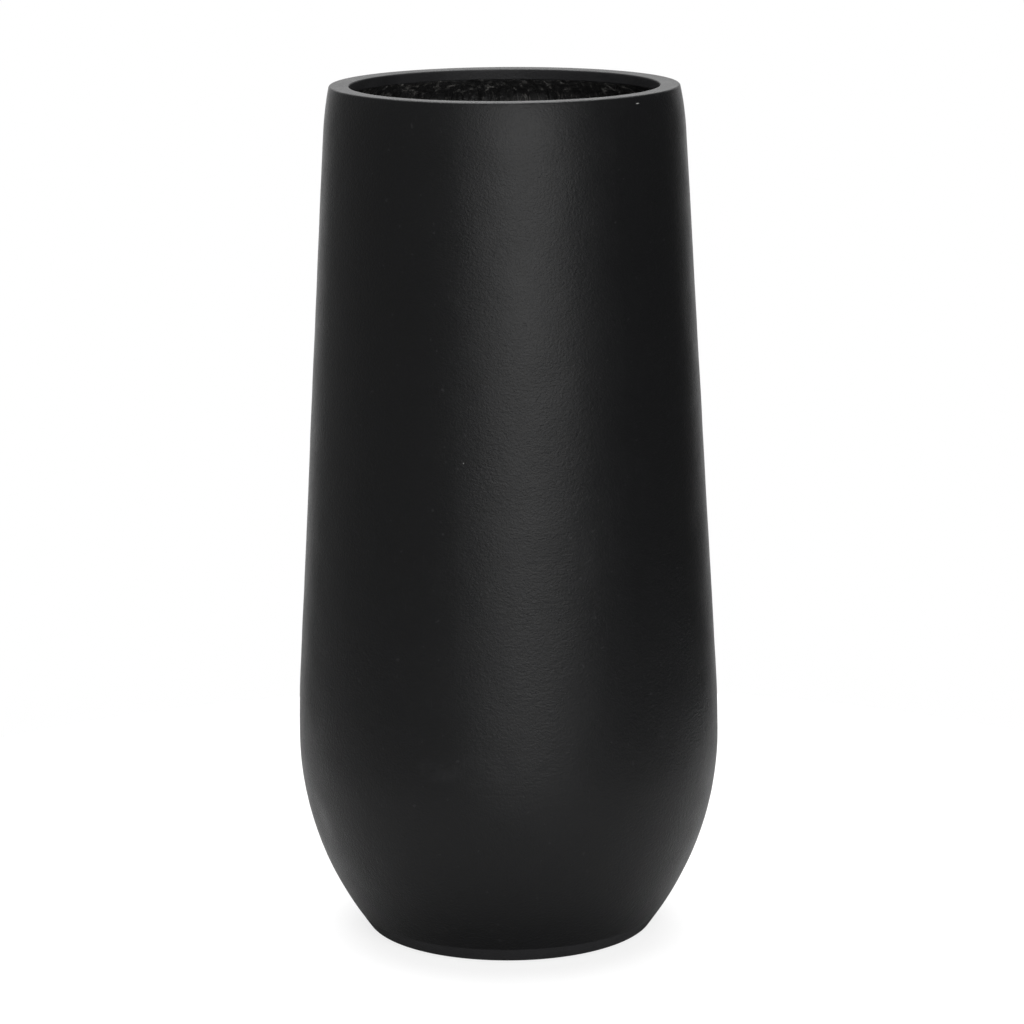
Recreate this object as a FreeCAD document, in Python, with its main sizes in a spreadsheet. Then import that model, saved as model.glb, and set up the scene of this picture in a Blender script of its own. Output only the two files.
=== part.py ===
"""A tall fibreglass planter: a turned vessel with a swelling belly, a flat rim and a small foot.

The axis of the planter is Z and the floor is at height 0. Its round pieces are drawn as sections in the XZ
plane, with the radius across and the height up, and turned about Z. The wall's outline is drawn by draw_wall
alone, and each layer of the wall follows it at its own depth below the face. Lengths are in millimetres and
angles on the sheet in degrees.
"""
import FreeCAD, Part
import math
import os
import Sketcher
from FreeCAD import Vector
from types import SimpleNamespace

SIZES = {
    # Outline of the face, from the foot to the rim
    "height": 1000,
    "foot_radius": 161.5,
    "foot_fillet": 10,
    "belly_radius": 248,
    "belly_height": 237,
    "belly_arc_radius": 1290,
    "shoulder_radius": 273,
    "mouth_radius": 201,
    "rim_lean_angle": 14.3,
    # Rim, and the lip that hangs from its inner side
    "rim_width": 23,
    "lip_depth": 13,
    "rim_outer_round": 2.5,
    "rim_inner_round": 1.5,
    # Layers of the wall, from the face inwards
    "face_coat": 2,
    "bond_line": 0.3,
    "laminate": 4,
    "laminate_corner": 12,
    "filler_angle": 45,
    "lip_lap": 5,
    "rim_cove": 14,
    # Ring of the foot, and the panel that is bonded in above it
    "foot_width": 31,
    "panel_lap": 20,
    "panel_thickness": 6,
    "panel_chamfer": 1,
    "tabbing_lap": 22,
    "tabbing_rise": 42,
    "tabbing_edge": 1.5,
    # Drain hole, and the plug that closes it from below
    "drain_radius": 11,
    "drain_chamfer": 0.8,
    "plug_clearance": 0.2,
    "flange_radius": 19,
    "flange_thickness": 2.6,
    "flange_chamfer": 0.8,
    "shank_length": 13,
    "shank_chamfer": 1.6,
    "core_radius": 6,
    "core_depth": 10,
    "rib_start": 1.6,
    "rib_gap": 2,
    "rib_depth": 0.9,
    "rib_pitch": 3.6,
    "grip_length": 24,
    "grip_width": 4.6,
    "grip_drop": 4,
    "grip_round": 0.8,
    # Pads under the foot
    "pad_radius": 10,
    "pad_thickness": 3,
    "pad_chamfer": 0.6,
}
RIB_GAP_COUNT = 3
PAD_ANGLES = (45, 135, 225, 315)

QUARTER_TURN = 90
HALF_TURN = 180
FULL_TURN = 360
START, END, CENTRE = range(1, 4)
SKETCH_ORIGIN = (-1, 1)
NEAR = 1e-4

doc = FreeCAD.newDocument("tall_planter")


class Size:
    """A length, angle or count: its value now, and the expression on the sheet that gives it."""

    def __init__(self, text, value):
        self.text = text
        self.value = value

    def __add__(self, other):
        return Size(f"({self.text} + {other.text})", self.value + other.value)

    def __sub__(self, other):
        return Size(f"({self.text} - {other.text})", self.value - other.value)

    def __mul__(self, other):
        return Size(f"({self.text} * {other.text})", self.value * other.value)

    def __truediv__(self, other):
        return Size(f"({self.text} / {other.text})", self.value / other.value)

    def __neg__(self):
        return Size(f"(-{self.text})", -self.value)


def number(value):
    """A plain number, for sums with sizes."""
    return Size(str(value), value)


def cosine(angle):
    return Size(f"cos({angle.text})", math.cos(math.radians(angle.value)))


def sine(angle):
    return Size(f"sin({angle.text})", math.sin(math.radians(angle.value)))


def fill_sheet():
    """One row for each driving dimension, and the sizes as they then stand on the sheet."""
    sheet = doc.addObject("Spreadsheet::Sheet", "Sizes")
    for row, (name, value) in enumerate(SIZES.items(), start=1):
        sheet.set(f"A{row}", name.replace("_", " "))
        sheet.set(f"B{row}", str(value))
        sheet.setAlias(f"B{row}", name)
    doc.recompute()
    return SimpleNamespace(**{name: Size(f"Sizes.{name}", float(sheet.get(name))) for name in SIZES})


size = fill_sheet()
NONE = number(0)
TWO = number(2)

# Depths below the face
BEHIND_COAT = size.face_coat + size.bond_line
INSIDE_LAMINATE = BEHIND_COAT + size.laminate
ON_LAMINATE = INSIDE_LAMINATE + size.bond_line

# Levels
FOOT_LEVEL = size.pad_thickness
FLANGE_LEVEL = FOOT_LEVEL + INSIDE_LAMINATE
PANEL_LEVEL = FLANGE_LEVEL + size.bond_line
TABBING_LEVEL = PANEL_LEVEL + size.panel_thickness + size.bond_line
LIP_FOOT = size.height - size.lip_depth
LIP_LAP_TOP = LIP_FOOT + size.lip_lap

# Radii
RECESS_RADIUS = size.foot_radius - size.foot_width
PANEL_RADIUS = RECESS_RADIUS + size.panel_lap
PAD_CIRCLE = size.foot_radius - size.foot_width / TWO
LIP_RADIUS = size.mouth_radius - size.rim_width
LIP_BACK = LIP_RADIUS + size.face_coat
BEHIND_LIP = LIP_BACK + size.bond_line
SHANK_RADIUS = size.drain_radius - size.plug_clearance

# The lower wall is one arc, upright at the belly, that runs into the foot's fillet without a corner
SWELL = size.belly_radius - size.foot_radius
FALL = size.belly_height - FOOT_LEVEL - size.foot_fillet
LOWER_RADIUS = (SWELL * SWELL + FALL * FALL - size.foot_fillet * size.foot_fillet) / (
    TWO * (SWELL - size.foot_fillet)
)
LOWER_CENTRE = (size.belly_radius - LOWER_RADIUS, size.belly_height)
BELLY_CENTRE = (size.belly_radius - size.belly_arc_radius, size.belly_height)
SHOULDER_CENTRE = (
    size.mouth_radius - size.shoulder_radius * cosine(size.rim_lean_angle),
    size.height - size.shoulder_radius * sine(size.rim_lean_angle),
)


def point(across, up):
    """The place that two sizes give in a section."""
    return Vector(across.value, up.value, 0)


def ray(degrees):
    """The unit vector at an angle from the radius."""
    return Vector(math.cos(math.radians(degrees)), math.sin(math.radians(degrees)), 0)


def bearing(place, centre):
    """The angle, in degrees, at which a place lies from a centre."""
    return math.degrees(math.atan2(place.y - centre.y, place.x - centre.x))


def meet(start, heading, centre, radius):
    """Where a line from inside a circle leaves it."""
    offset = start - centre
    along = offset.dot(heading)
    reach = math.sqrt(along**2 - offset.dot(offset) + radius**2) - along
    return start + heading * reach


def inner_round_centre(centre, arc_radius, radius, level):
    """Centre of a round that touches an arc from inside and lies at a level itself."""
    return meet(Vector(centre.x, level, 0), ray(0), centre, arc_radius - radius)


def taper_normal():
    """The angle of the wall's normal on the straight taper, which touches both belly arc and shoulder."""
    belly = point(*BELLY_CENTRE)
    shoulder = point(*SHOULDER_CENTRE)
    narrowing = (size.belly_arc_radius.value - size.shoulder_radius.value) / (shoulder - belly).Length
    return bearing(shoulder, belly) - math.degrees(math.acos(narrowing))


class Section:
    """A sketch on one of a body's own planes. Each line is drawn where it should lie and then bound there."""

    def __init__(self, body, name, role):
        plane = next(feature for feature in body.Origin.OriginFeatures if feature.Role == role)
        self.sketch = body.newObject("Sketcher::SketchObject", name)
        self.sketch.AttachmentSupport = [(plane, "")]
        self.sketch.MapMode = "FlatFace"
        self.sketch.Visibility = False

    def line(self, start, end):
        return self.sketch.addGeometry(Part.LineSegment(start, end), False)

    def circle(self, centre, radius):
        return self.sketch.addGeometry(Part.Circle(centre, Vector(0, 0, 1), radius), False)

    def arc(self, centre, radius, first, last):
        """An arc that runs anticlockwise between two angles."""
        circle = Part.Circle(centre, Vector(0, 0, 1), radius)
        arc = Part.ArcOfCircle(circle, math.radians(first), math.radians(last))
        return self.sketch.addGeometry(arc, False)

    def rule(self, kind, *where):
        """A geometric rule, such as Horizontal or Tangent."""
        self.sketch.addConstraint(Sketcher.Constraint(kind, *where))

    def bind(self, kind, *where, to):
        """A dimension of a kind, bound to a size."""
        index = self.sketch.addConstraint(Sketcher.Constraint(kind, *where, to.value))
        self.sketch.setExpression(f"Constraints[{index}]", to.text)

    def across(self, element, end, radius):
        self.bind("DistanceX", *SKETCH_ORIGIN, element, end, to=radius)

    def up(self, element, end, level):
        self.bind("DistanceY", *SKETCH_ORIGIN, element, end, to=level)

    def slope(self, line, angle):
        """The direction of a line, from its start to its end."""
        index = self.sketch.addConstraint(Sketcher.Constraint("Angle", line, math.radians(angle.value)))
        self.sketch.setExpression(f"Constraints[{index}]", f"{angle.text} * 1 deg")

    def fix_arc(self, arc, centre, radius):
        """Binds an arc's centre and radius, and leaves its ends free."""
        self.across(arc, CENTRE, centre[0])
        self.up(arc, CENTRE, centre[1])
        self.bind("Radius", arc, to=radius)

    def close(self, links):
        """Joins links into one loop, in order; a smooth link runs into the next without a corner."""
        for link, after in zip(links, links[1:] + links[:1]):
            self.rule("Tangent" if link.smooth else "Coincident", *link.last, *after.first)


def forward(element, smooth=False):
    """A line or arc as a link of a loop, followed from its start to its end."""
    return SimpleNamespace(first=(element, START), last=(element, END), smooth=smooth)


def backward(element, smooth=False):
    """A line or arc as a link of a loop, followed from its end to its start."""
    return SimpleNamespace(first=(element, END), last=(element, START), smooth=smooth)


def upward(wall, smooth=False):
    """The wall as a link of a loop, followed from the foot to the rim."""
    return SimpleNamespace(first=wall.foot, last=wall.rim, smooth=smooth)


def downward(wall, smooth=False):
    """The wall as a link of a loop, followed from the rim to the foot."""
    return SimpleNamespace(first=wall.rim, last=wall.foot, smooth=smooth)


def draw_wall(section, depth, first, last):
    """The wall at a depth below its face: lower wall, belly, straight taper and shoulder.

    first and last are the angles at which the lower wall starts and the shoulder ends. What the caller joins
    there holds them.
    """
    normal = taper_normal()
    lower_radius = LOWER_RADIUS - depth
    belly_radius = size.belly_arc_radius - depth
    shoulder_radius = size.shoulder_radius - depth
    taper_start = point(*BELLY_CENTRE) + ray(normal) * belly_radius.value
    taper_end = point(*SHOULDER_CENTRE) + ray(normal) * shoulder_radius.value
    lower = section.arc(point(*LOWER_CENTRE), lower_radius.value, first, 0)
    belly = section.arc(point(*BELLY_CENTRE), belly_radius.value, 0, normal)
    taper = section.line(taper_start, taper_end)
    shoulder = section.arc(point(*SHOULDER_CENTRE), shoulder_radius.value, normal, last)
    section.fix_arc(lower, LOWER_CENTRE, lower_radius)
    section.up(lower, END, size.belly_height)
    section.bind("Radius", belly, to=belly_radius)
    section.fix_arc(shoulder, SHOULDER_CENTRE, shoulder_radius)
    section.rule("Tangent", lower, END, belly, START)
    section.rule("Tangent", belly, END, taper, START)
    section.rule("Tangent", taper, END, shoulder, START)
    return SimpleNamespace(foot=(lower, START), rim=(shoulder, END))


def draw_foot(section, depth, fillet):
    """The flat of the foot at a depth above its underside, and the fillet that lifts it into the wall.

    The flat runs outwards from the recess. The last value is the angle at which the fillet meets the wall.
    """
    level = FOOT_LEVEL + depth
    centre = inner_round_centre(
        point(*LOWER_CENTRE), (LOWER_RADIUS - depth).value, fillet.value, (level + fillet).value
    )
    angle = bearing(centre, point(*LOWER_CENTRE))
    flat = section.line(point(RECESS_RADIUS, level), Vector(centre.x, level.value, 0))
    corner = section.arc(centre, fillet.value, -QUARTER_TURN, angle)
    section.rule("Horizontal", flat)
    section.up(flat, START, level)
    section.bind("Radius", corner, to=fillet)
    return flat, corner, angle


def draw_outer_skin(section):
    """The face coat: foot, wall, rounded rim and lip in one moulding of even thickness."""
    shoulder_centre = point(*SHOULDER_CENTRE)

    # Face of the foot and of the wall
    outer_round = size.rim_outer_round
    outer_centre = inner_round_centre(
        shoulder_centre, size.shoulder_radius.value, outer_round.value, (size.height - outer_round).value
    )
    rim_angle = bearing(outer_centre, shoulder_centre)
    flat, corner, foot_angle = draw_foot(section, NONE, size.foot_fillet)
    face = draw_wall(section, NONE, foot_angle, rim_angle)
    section.across(flat, START, RECESS_RADIUS)

    # Rounded flat of the rim, and the lip down its inner side
    inner_round = size.rim_inner_round
    inner_centre = point(LIP_RADIUS + inner_round, size.height - inner_round)
    outer_edge = section.arc(outer_centre, outer_round.value, rim_angle, QUARTER_TURN)
    rim_start = Vector(outer_centre.x, size.height.value, 0)
    rim = section.line(rim_start, Vector(inner_centre.x, size.height.value, 0))
    inner_edge = section.arc(inner_centre, inner_round.value, QUARTER_TURN, HALF_TURN)
    lip = section.line(Vector(LIP_RADIUS.value, inner_centre.y, 0), point(LIP_RADIUS, LIP_FOOT))
    section.bind("Radius", outer_edge, to=outer_round)
    section.rule("Horizontal", rim)
    section.up(rim, START, size.height)
    section.bind("Radius", inner_edge, to=inner_round)
    section.rule("Vertical", lip)
    section.across(lip, START, LIP_RADIUS)
    section.up(lip, END, LIP_FOOT)

    # Foot of the lip, back of the lip and back of the rim
    back_level = size.height - size.face_coat
    back_radius = size.shoulder_radius - size.face_coat
    back_corner = meet(point(LIP_BACK, back_level), ray(0), shoulder_centre, back_radius.value)
    lip_foot = section.line(point(LIP_RADIUS, LIP_FOOT), point(LIP_BACK, LIP_FOOT))
    lip_back = section.line(point(LIP_BACK, LIP_FOOT), point(LIP_BACK, back_level))
    rim_back = section.line(point(LIP_BACK, back_level), back_corner)
    section.rule("Horizontal", lip_foot)
    section.rule("Vertical", lip_back)
    section.across(lip_back, START, LIP_BACK)
    section.rule("Horizontal", rim_back)
    section.up(rim_back, START, back_level)

    # Back of the wall and of the foot, to the edge of the recess
    back_fillet = size.foot_fillet - size.face_coat
    inner_flat, inner_corner, inner_angle = draw_foot(section, size.face_coat, back_fillet)
    back = draw_wall(section, size.face_coat, inner_angle, bearing(back_corner, shoulder_centre))
    edge = section.line(point(RECESS_RADIUS, FOOT_LEVEL + size.face_coat), point(RECESS_RADIUS, FOOT_LEVEL))
    section.rule("Vertical", edge)

    section.close([
        forward(flat, smooth=True),
        forward(corner, smooth=True),
        upward(face, smooth=True),
        forward(outer_edge, smooth=True),
        forward(rim, smooth=True),
        forward(inner_edge, smooth=True),
        forward(lip),
        forward(lip_foot),
        forward(lip_back),
        forward(rim_back),
        downward(back, smooth=True),
        backward(inner_corner, smooth=True),
        backward(inner_flat),
        forward(edge),
    ])


def draw_rim_filler(section):
    """The putty that fills the rim: under its flat, behind its lip, and sloping down to the shoulder."""
    shoulder_centre = point(*SHOULDER_CENTRE)
    radius = size.shoulder_radius - BEHIND_COAT
    top_start = point(BEHIND_LIP, size.height - BEHIND_COAT)
    slope_start = point(BEHIND_LIP, LIP_LAP_TOP + size.bond_line)
    top_end = meet(top_start, ray(0), shoulder_centre, radius.value)
    slope_end = meet(slope_start, ray(-size.filler_angle.value), shoulder_centre, radius.value)
    shoulder = section.arc(
        shoulder_centre,
        radius.value,
        bearing(slope_end, shoulder_centre),
        bearing(top_end, shoulder_centre),
    )
    top = section.line(top_end, top_start)
    lip_side = section.line(top_start, slope_start)
    slope = section.line(slope_end, slope_start)
    section.fix_arc(shoulder, SHOULDER_CENTRE, radius)
    section.rule("Horizontal", top)
    section.up(top, END, size.height - BEHIND_COAT)
    section.rule("Vertical", lip_side)
    section.across(lip_side, END, BEHIND_LIP)
    section.up(lip_side, END, LIP_LAP_TOP + size.bond_line)
    section.slope(slope, number(HALF_TURN) - size.filler_angle)
    section.close([forward(shoulder), forward(top), forward(lip_side), backward(slope)])


def draw_glass_laminate(section):
    """The glass mat behind the coat: over the foot, up the wall, across the filler and on to the lip."""
    shoulder_centre = point(*SHOULDER_CENTRE)
    falling = ray(-size.filler_angle.value)
    rising_angle = number(HALF_TURN) - size.filler_angle

    # Outer side, against the coat and the filler
    outer_radius = size.shoulder_radius - BEHIND_COAT
    lap_top = point(BEHIND_LIP, LIP_LAP_TOP)
    lap_foot = point(BEHIND_LIP, LIP_FOOT)
    under_filler = meet(lap_top, falling, shoulder_centre, outer_radius.value)
    flat, corner, foot_angle = draw_foot(section, BEHIND_COAT, size.foot_fillet - BEHIND_COAT)
    outer = draw_wall(section, BEHIND_COAT, foot_angle, bearing(under_filler, shoulder_centre))
    over = section.line(under_filler, lap_top)
    lap = section.line(lap_top, lap_foot)
    section.across(flat, START, RECESS_RADIUS)
    section.slope(over, rising_angle)
    section.rule("Vertical", lap)
    section.across(lap, START, BEHIND_LIP)
    section.up(lap, START, LIP_LAP_TOP)

    # Inner side: the slope under the rim, the cove below it, the wall and the top of the foot's flange
    cove = size.rim_cove
    cove_circle = size.shoulder_radius - INSIDE_LAMINATE - cove
    cove_top = QUARTER_TURN - size.filler_angle.value
    cove_centre = meet(lap_foot - ray(cove_top) * cove.value, falling, shoulder_centre, cove_circle.value)
    cove_foot = bearing(cove_centre, shoulder_centre)
    slope = section.line(cove_centre + ray(cove_top) * cove.value, lap_foot)
    hollow = section.arc(cove_centre, cove.value, cove_foot, cove_top)
    inner_flat, inner_corner, inner_angle = draw_foot(section, INSIDE_LAMINATE, size.laminate_corner)
    inner = draw_wall(section, INSIDE_LAMINATE, inner_angle, cove_foot)
    edge = section.line(point(RECESS_RADIUS, FLANGE_LEVEL), point(RECESS_RADIUS, FOOT_LEVEL + BEHIND_COAT))
    section.up(slope, END, LIP_FOOT)
    section.slope(slope, rising_angle)
    section.bind("Radius", hollow, to=cove)
    section.rule("Vertical", edge)

    section.close([
        forward(flat, smooth=True),
        forward(corner, smooth=True),
        upward(outer),
        forward(over),
        forward(lap),
        backward(slope, smooth=True),
        backward(hollow, smooth=True),
        downward(inner, smooth=True),
        backward(inner_corner, smooth=True),
        backward(inner_flat),
        forward(edge),
    ])


def draw_base_tabbing(section):
    """The glass strip that ties the panel's edge to the wall; its upper side is one hollow sweep."""
    centre = point(*LOWER_CENTRE)
    wall_radius = LOWER_RADIUS - ON_LAMINATE
    fillet = size.laminate_corner - size.bond_line
    bed_radius = PANEL_RADIUS + size.bond_line
    lap_radius = PANEL_RADIUS - size.tabbing_lap
    lap_level = TABBING_LEVEL + size.tabbing_edge
    top_level = FLANGE_LEVEL + size.tabbing_rise

    # Underside: on the flange outside the panel, round the corner and up the wall
    corner_centre = inner_round_centre(centre, wall_radius.value, fillet.value, (PANEL_LEVEL + fillet).value)
    corner_angle = bearing(corner_centre, centre)
    wall_top = meet(point(PANEL_RADIUS, top_level), ray(0), centre, wall_radius.value)
    bed = section.line(point(bed_radius, PANEL_LEVEL), Vector(corner_centre.x, PANEL_LEVEL.value, 0))
    corner = section.arc(corner_centre, fillet.value, -QUARTER_TURN, corner_angle)
    wall = section.arc(centre, wall_radius.value, corner_angle, bearing(wall_top, centre))
    section.rule("Horizontal", bed)
    section.up(bed, START, PANEL_LEVEL)
    section.bind("Radius", corner, to=fillet)
    section.fix_arc(wall, LOWER_CENTRE, wall_radius)
    section.up(wall, END, top_level)

    # Upper side: level where the sweep leaves its lap on the panel, and steep where it ends by the wall
    sweep_top = wall_top - ray(0) * size.tabbing_edge.value
    run = sweep_top - point(lap_radius, lap_level)
    sweep_radius = run.dot(run) / (2 * run.y)
    sweep_centre = Vector(lap_radius.value, lap_level.value + sweep_radius, 0)
    wall_edge = section.line(wall_top, sweep_top)
    sweep = section.arc(sweep_centre, sweep_radius, -QUARTER_TURN, bearing(sweep_top, sweep_centre))
    section.rule("Horizontal", wall_edge)
    section.bind("DistanceX", wall_edge, END, wall_edge, START, to=size.tabbing_edge)
    section.across(sweep, CENTRE, lap_radius)
    section.across(sweep, START, lap_radius)
    section.up(sweep, START, lap_level)

    # Edge of the lap, its underside on the panel, and down beside the panel
    lap_edge = section.line(point(lap_radius, lap_level), point(lap_radius, TABBING_LEVEL))
    lap = section.line(point(lap_radius, TABBING_LEVEL), point(bed_radius, TABBING_LEVEL))
    panel_side = section.line(point(bed_radius, TABBING_LEVEL), point(bed_radius, PANEL_LEVEL))
    section.rule("Vertical", lap_edge)
    section.rule("Horizontal", lap)
    section.up(lap, START, TABBING_LEVEL)
    section.rule("Vertical", panel_side)
    section.across(panel_side, START, bed_radius)

    section.close([
        forward(bed, smooth=True),
        forward(corner, smooth=True),
        forward(wall),
        forward(wall_edge),
        backward(sweep),
        forward(lap_edge),
        forward(lap),
        forward(panel_side),
    ])


def draw_rib_gap(section):
    """The lowest gap between the plug's ribs; it reaches past the shank so that it cuts right out."""
    floor_radius = SHANK_RADIUS - size.rib_depth
    outside = SHANK_RADIUS + size.rib_depth
    top_level = size.rib_start + size.rib_gap
    low = section.line(point(floor_radius, size.rib_start), point(outside, size.rib_start))
    out = section.line(point(outside, size.rib_start), point(outside, top_level))
    high = section.line(point(outside, top_level), point(floor_radius, top_level))
    floor = section.line(point(floor_radius, top_level), point(floor_radius, size.rib_start))
    section.rule("Horizontal", low)
    section.rule("Vertical", out)
    section.rule("Horizontal", high)
    section.rule("Vertical", floor)
    section.up(low, START, size.rib_start)
    section.up(high, START, top_level)
    section.across(low, START, floor_radius)
    section.across(out, START, outside)
    section.close([forward(low), forward(out), forward(high), forward(floor)])


def draw_disc(section, radius):
    """A full circle about the axis."""
    circle = section.circle(Vector(), radius.value)
    section.rule("Coincident", circle, CENTRE, *SKETCH_ORIGIN)
    section.bind("Radius", circle, to=radius)


def draw_bar(section, length, width):
    """A bar with round ends, centred on the axis and lying along X."""
    end_radius = width / TWO
    reach = (length - width) / TWO
    right_centre = point(reach, NONE)
    left_centre = point(-reach, NONE)
    drop = Vector(0, end_radius.value, 0)
    near_side = section.line(left_centre - drop, right_centre - drop)
    right_end = section.arc(right_centre, end_radius.value, -QUARTER_TURN, QUARTER_TURN)
    far_side = section.line(right_centre + drop, left_centre + drop)
    left_end = section.arc(left_centre, end_radius.value, QUARTER_TURN, HALF_TURN + QUARTER_TURN)
    section.fix_arc(right_end, (reach, NONE), end_radius)
    section.across(left_end, CENTRE, -reach)
    section.up(left_end, CENTRE, NONE)
    section.rule("Horizontal", near_side)
    section.close([
        forward(near_side, smooth=True),
        forward(right_end, smooth=True),
        forward(far_side, smooth=True),
        forward(left_end, smooth=True),
    ])


def turned_body(name, draw):
    """A sub-part turned about Z from the section that draw makes."""
    body = doc.addObject("PartDesign::Body", name)
    section = Section(body, f"{name}_section", "XZ_Plane")
    draw(section)
    turn = body.newObject("PartDesign::Revolution", f"{name}_turned")
    turn.Profile = section.sketch
    turn.ReferenceAxis = (section.sketch, ["V_Axis"])
    turn.Angle = FULL_TURN
    return body


def body_at(name, level):
    """An empty body whose own XY plane lies at a level of the planter."""
    body = doc.addObject("PartDesign::Body", name)
    body.setExpression("Placement.Base.z", level.text)
    return body


def add_feature(body, kind, name, length, level, draw, *sizes):
    """A Pad upwards or a Pocket downwards, from a section drawn at a level of the body."""
    section = Section(body, f"{name}_section", "XY_Plane")
    section.sketch.setExpression("AttachmentOffset.Base.z", level.text)
    draw(section, *sizes)
    feature = body.newObject(f"PartDesign::{kind}", name)
    feature.Profile = section.sketch
    feature.setExpression("Length", length.text)
    doc.recompute()
    return feature


def edges_at(feature, level):
    """Names of a feature's edges that lie flat at a level."""
    names = []
    for index, edge in enumerate(feature.Shape.Edges, start=1):
        heights = [vertex.Z for vertex in edge.Vertexes] + [edge.CenterOfMass.z]
        if all(abs(height - level.value) < NEAR for height in heights):
            names.append(f"Edge{index}")
    return names


def circles_at(feature, radius, level):
    """Names of a feature's edges that are circles of a radius at a level."""
    names = []
    for name in edges_at(feature, level):
        curve = feature.getSubObject(name).Curve
        if isinstance(curve, Part.Circle) and abs(curve.Radius - radius.value) < NEAR:
            names.append(name)
    return names


def ease_edges(body, kind, name, edges, amount):
    """A Fillet or Chamfer along the named edges of the body's last feature."""
    base = body.Tip
    easing = body.newObject(f"PartDesign::{kind}", name)
    easing.Base = (base, edges)
    easing.setExpression("Radius" if kind == "Fillet" else "Size", amount.text)
    doc.recompute()


def must_cut(before, after):
    """Refuses a cut that misses the solid."""
    if after.Shape.Volume > before.Shape.Volume - NEAR:
        raise ValueError(f"{after.Label} cuts nothing")


def make_base_panel():
    """The flat panel that closes the bottom, with the drain hole in its middle and its top edges bevelled."""
    body = body_at("base_panel", PANEL_LEVEL)
    top = size.panel_thickness
    disc = add_feature(body, "Pad", "panel_disc", top, NONE, draw_disc, PANEL_RADIUS)
    hole = add_feature(body, "Pocket", "drain_hole", top, top, draw_disc, size.drain_radius)
    must_cut(disc, hole)
    hole_edge = circles_at(hole, size.drain_radius, top)
    ease_edges(body, "Chamfer", "drain_chamfer", hole_edge, size.drain_chamfer)
    panel_edge = circles_at(body.Tip, PANEL_RADIUS, top)
    ease_edges(body, "Chamfer", "panel_chamfer", panel_edge, size.panel_chamfer)
    return body


def add_ribs(body, shank):
    """Cuts the gaps that leave ribs round the plug's shank: one groove, repeated up the shank."""
    section = Section(body, "rib_gap_section", "XZ_Plane")
    draw_rib_gap(section)
    gap = body.newObject("PartDesign::Groove", "rib_gap")
    gap.Profile = section.sketch
    gap.ReferenceAxis = (section.sketch, ["V_Axis"])
    gap.Angle = FULL_TURN
    doc.recompute()
    must_cut(shank, gap)
    gaps = body.newObject("PartDesign::LinearPattern", "rib_gaps")
    gaps.Originals = [gap]
    gaps.Direction = (section.sketch, ["V_Axis"])
    gaps.Occurrences = RIB_GAP_COUNT
    gaps.Mode = "Spacing"
    gaps.setExpression("Offset", size.rib_pitch.text)
    body.Tip = gaps
    doc.recompute()
    must_cut(gap, gaps)


def make_drain_plug():
    """The rubber plug: a flange under the panel, a ribbed hollow shank up the hole, and a grip to pull."""
    body = body_at("drain_plug", PANEL_LEVEL - size.plug_clearance)
    top = size.shank_length
    flange_foot = -size.flange_thickness
    grip_foot = flange_foot - size.grip_drop
    grip = (draw_bar, size.grip_length, size.grip_width)
    add_feature(body, "Pad", "flange", size.flange_thickness, flange_foot, draw_disc, size.flange_radius)
    shank = add_feature(body, "Pad", "shank", top, NONE, draw_disc, SHANK_RADIUS)
    core = add_feature(body, "Pocket", "core", size.core_depth, top, draw_disc, size.core_radius)
    must_cut(shank, core)
    add_ribs(body, core)
    add_feature(body, "Pad", "grip", size.grip_drop, grip_foot, *grip)
    shank_edge = circles_at(body.Tip, SHANK_RADIUS, top)
    ease_edges(body, "Chamfer", "shank_chamfer", shank_edge, size.shank_chamfer)
    flange_edges = circles_at(body.Tip, size.flange_radius, flange_foot)
    flange_edges += circles_at(body.Tip, size.flange_radius, NONE)
    ease_edges(body, "Chamfer", "flange_chamfers", flange_edges, size.flange_chamfer)
    ease_edges(body, "Fillet", "grip_rounds", edges_at(body.Tip, grip_foot), size.grip_round)
    return body


def make_floor_pad(index, angle):
    """One rubber pad, stuck under the middle of the foot's ring, its lower edge bevelled."""
    body = doc.addObject("PartDesign::Body", f"floor_pad_{index}")
    body.setExpression("Placement.Base.x", (PAD_CIRCLE * cosine(number(angle))).text)
    body.setExpression("Placement.Base.y", (PAD_CIRCLE * sine(number(angle))).text)
    disc = add_feature(body, "Pad", f"pad_{index}", size.pad_thickness, NONE, draw_disc, size.pad_radius)
    ease_edges(body, "Chamfer", f"pad_chamfer_{index}", edges_at(disc, NONE), size.pad_chamfer)
    return body


def write_parts(bodies):
    """Checks the whole document, then writes one STEP file for each sub-part."""
    doc.recompute()
    for item in doc.Objects:
        if "Invalid" in item.State or "Error" in item.State:
            raise ValueError(f"{item.Label} did not rebuild")
    for body in bodies:
        if body.Shape.isNull() or not body.Shape.isValid() or len(body.Shape.Solids) != 1:
            raise ValueError(f"{body.Label} is not one sound solid")
    os.makedirs("parts", exist_ok=True)
    for body in bodies:
        body.Shape.exportStep(f"parts/{body.Label}.step")
        print(f"{body.Label}: {body.Shape.Volume:.0f} mm3")


planter_bodies = [
    turned_body("outer_skin", draw_outer_skin),
    turned_body("rim_filler", draw_rim_filler),
    turned_body("glass_laminate", draw_glass_laminate),
    make_base_panel(),
    turned_body("base_tabbing", draw_base_tabbing),
    make_drain_plug(),
]
planter_bodies += [make_floor_pad(index, angle) for index, angle in enumerate(PAD_ANGLES, start=1)]
write_parts(planter_bodies)
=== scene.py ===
"""Looks of a tall planter moulded in glass fibre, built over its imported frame.

Lengths are in metres. The planter stands on the floor at height 0, and its axis is Z.
"""
import logging
import math
import random
from collections.abc import Callable
from dataclasses import dataclass, field
from enum import Enum
from functools import cached_property

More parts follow.
